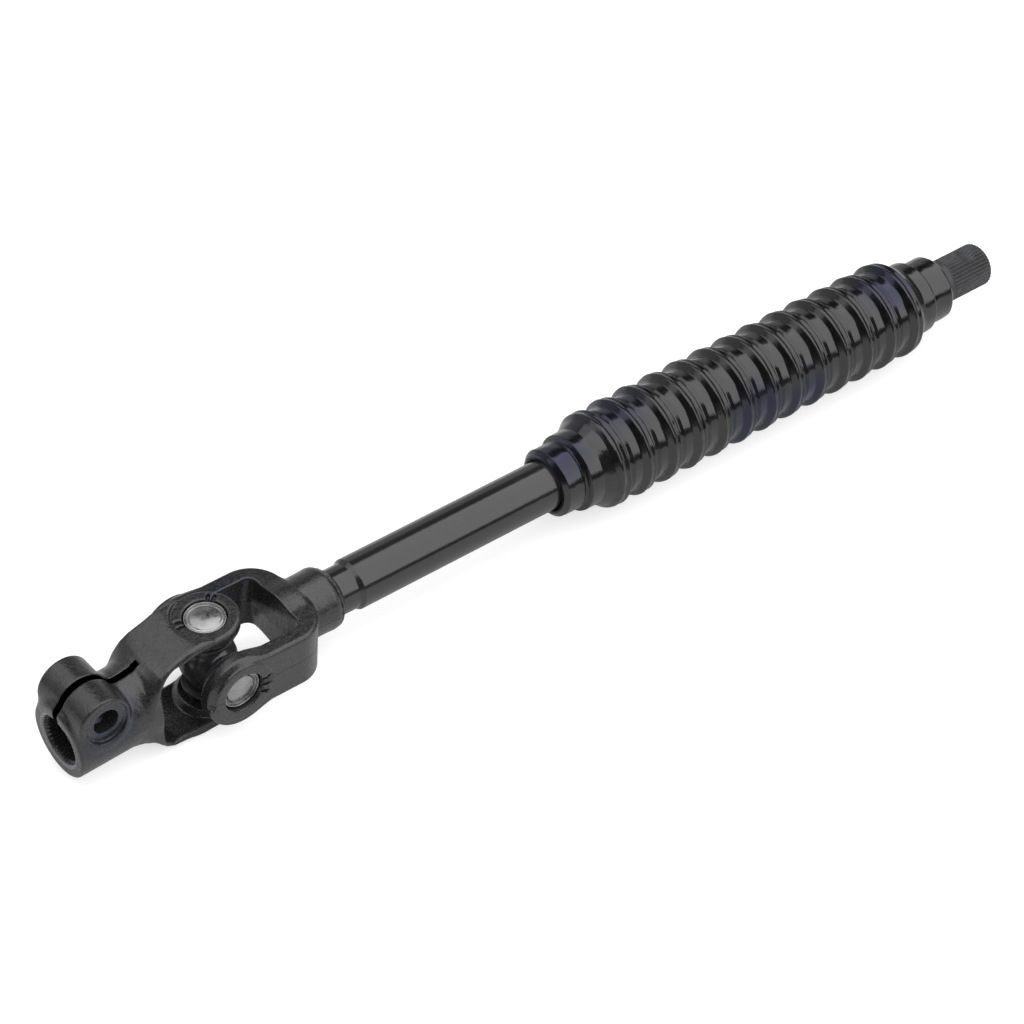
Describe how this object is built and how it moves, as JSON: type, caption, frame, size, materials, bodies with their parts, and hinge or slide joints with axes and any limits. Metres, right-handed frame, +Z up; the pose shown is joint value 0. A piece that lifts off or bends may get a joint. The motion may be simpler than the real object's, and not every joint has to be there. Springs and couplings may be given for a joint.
{
  "type": "intermediate steering shaft",
  "caption": "Intermediate steering shaft: split splined clamp yoke, universal joint, welded tube and a sliding shaft with a splined end under a bellows boot.",
  "frame": {"origin": "middle of the underside of the box round the whole shaft, lying level", "axes": "+X along the shaft towards its splined end, +Z up through the pinch bolt boss, +Y away from the side the bolt enters"},
  "size_m": [0.4846, 0.0468, 0.0476],
  "materials": {
    "black_paint": "semi-gloss black paint over a forged or drawn surface",
    "weld_paint": "the same black paint over a rippled weld",
    "boot_rubber": "glossy moulded black rubber",
    "dark_shaft_steel": "satin dark phosphate over machined steel",
    "nylon": "natural nylon, hidden inside",
    "spring_steel": "spring temper, hidden inside",
    "cross_steel": "forged steel with ground trunnions",
    "bearing_steel": "polished drawn cup",
    "seal_rubber": "matt black moulded rubber"
  },
  "bodies": {
    "tube_side": {"tube_yoke": "black_paint", "outer_tube": "black_paint", "weld_bead": "weld_paint", "spline_liner": "nylon", "bellows_boot": "boot_rubber", "bearing_cup_near": "bearing_steel", "bearing_cup_far": "bearing_steel"},
    "cross": {"joint_cross": "cross_steel", "thrust_pad_top": "nylon", "thrust_pad_bottom": "nylon", "thrust_pad_near": "nylon", "thrust_pad_far": "nylon", "journal_seal_top": "seal_rubber", "journal_seal_bottom": "seal_rubber", "journal_seal_near": "seal_rubber", "journal_seal_far": "seal_rubber"},
    "clamp": {"clamp_yoke": "black_paint", "bearing_cup_top": "bearing_steel", "bearing_cup_bottom": "bearing_steel"},
    "slider": {"inner_shaft": "dark_shaft_steel", "stop_ring": "spring_steel"}
  },
  "joints": [
    {"name": "cross_hinge", "type": "hinge", "parent": "tube_side", "child": "cross", "pos_m": [-0.17317, 0, 0.02416], "axis": [0, 1, 0], "range_deg": [-31.6, 38.4]},
    {"name": "clamp_hinge", "type": "hinge", "parent": "cross", "child": "clamp", "pos_m": [-0.17317, 0, 0.02416], "axis": [-0.0593, 0, 0.9982], "range_deg": [-35, 35]},
    {"name": "telescope", "type": "slide", "parent": "tube_side", "child": "slider", "axis": [1, 0, 0], "range_m": [-0.04, 0.025], "deforming": ["bellows_boot"]}
  ]
}
